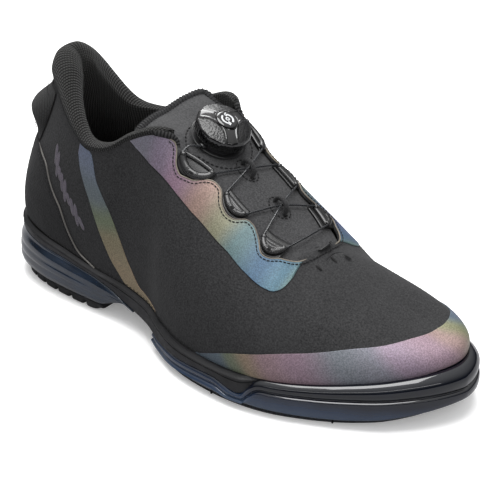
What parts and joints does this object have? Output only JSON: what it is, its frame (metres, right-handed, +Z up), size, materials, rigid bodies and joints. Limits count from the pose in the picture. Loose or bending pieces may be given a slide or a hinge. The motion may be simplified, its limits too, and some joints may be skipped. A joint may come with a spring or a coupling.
{
  "type": "bowling shoe",
  "caption": "Low bowling shoe for the sliding foot: padded ribbed collar, dial-tightened steel lace over a padded tongue, removable slide sole and toothed heel pad.",
  "frame": {"origin": "on the floor plane, near the middle of the heel pad's walking face", "axes": "+X from heel to toe, +Z up, -Y the outer (lateral) side, +Y the inner (medial) side"},
  "size_m": [0.3026, 0.1105, 0.1402],
  "materials": {
    "microfibre": "fine matte grain",
    "microfibre_dark": "matte, brushed",
    "tab_fabric": "tight weave",
    "board": "fibre board",
    "lining_mesh": "mesh",
    "foam": "open-cell foam",
    "rib_knit": "ribbed knit",
    "film": "iridescent satin film",
    "guide_plastic": "matte moulded",
    "insole_fabric": "brushed knit",
    "steel": "satin",
    "midsole_rubber": "matte moulded",
    "cushion_tpu": "translucent satin",
    "outsole_tpu": "clear glossy",
    "hook_fabric": "hook and loop pile",
    "slide_microfibre": "brushed nap",
    "heel_rubber": "matte cut teeth",
    "tongue_microfibre": "smooth matte",
    "cord": "braided",
    "steel_lace": "black coated strand",
    "dial_plastic": "satin moulded",
    "spool_plastic": "satin moulded",
    "dial_gloss": "polished",
    "grip_rubber": "textured"
  },
  "bodies": {
    "shoe": {"upper_shell": "microfibre", "heel_panel": "microfibre_dark", "heel_pull_tab": "tab_fabric", "heel_counter": "board", "toe_puff": "board", "vamp_lining": "lining_mesh", "collar_foam": "foam", "collar_lining": "rib_knit", "eyestay_lateral": "film", "eyestay_medial": "film", "toe_overlay": "film", "heel_stripe_lateral": "film", "heel_stripe_medial": "film", "lace_guides_lateral": "guide_plastic", "lace_guides_medial": "guide_plastic", "insole": "insole_fabric", "lasting_board": "board", "shank": "steel", "midsole": "midsole_rubber", "heel_cushion": "cushion_tpu", "toe_wrap_outsole": "outsole_tpu", "sole_loop_patch": "hook_fabric", "heel_loop_patch": "hook_fabric"},
    "tongue": {"tongue_cover": "tongue_microfibre", "tongue_foam": "foam", "tongue_lining": "lining_mesh", "tongue_binding": "tab_fabric", "lace_loops": "cord", "lace": "steel_lace", "dial_base": "dial_plastic", "dial_post_screw": "steel"},
    "spool": {"lace_spool": "spool_plastic"},
    "dial": {"dial_knob": "dial_gloss", "dial_pawl_ring": "spool_plastic", "dial_grip": "grip_rubber", "dial_cap": "dial_gloss"},
    "sole_pad": {"slide_sole": "slide_microfibre", "slide_sole_hook": "hook_fabric"},
    "heel_pad_unit": {"heel_pad": "heel_rubber", "heel_pad_hook": "hook_fabric"}
  },
  "joints": [
    {"name": "tongue_flex", "type": "hinge", "parent": "shoe", "child": "tongue", "pos_m": [0.181, 0, 0.062], "axis": [0, 1, 0], "range_deg": [-8, 0], "deforming": ["lace"]},
    {"name": "spool_turn", "type": "hinge", "parent": "tongue", "child": "spool", "pos_m": [0.103, 0, 0.1106], "axis": [0.4848, 0, 0.8746], "continuous": true},
    {"name": "dial_pull", "type": "slide", "parent": "spool", "child": "dial", "axis": [0.4848, 0, 0.8746], "range_m": [0, 0.0025]},
    {"name": "sole_pad_release", "type": "slide", "parent": "shoe", "child": "sole_pad", "axis": [0, 0, -1], "range_m": [0, 0.015]},
    {"name": "heel_pad_release", "type": "slide", "parent": "shoe", "child": "heel_pad_unit", "axis": [0, 0, -1], "range_m": [0, 0.015]}
  ]
}
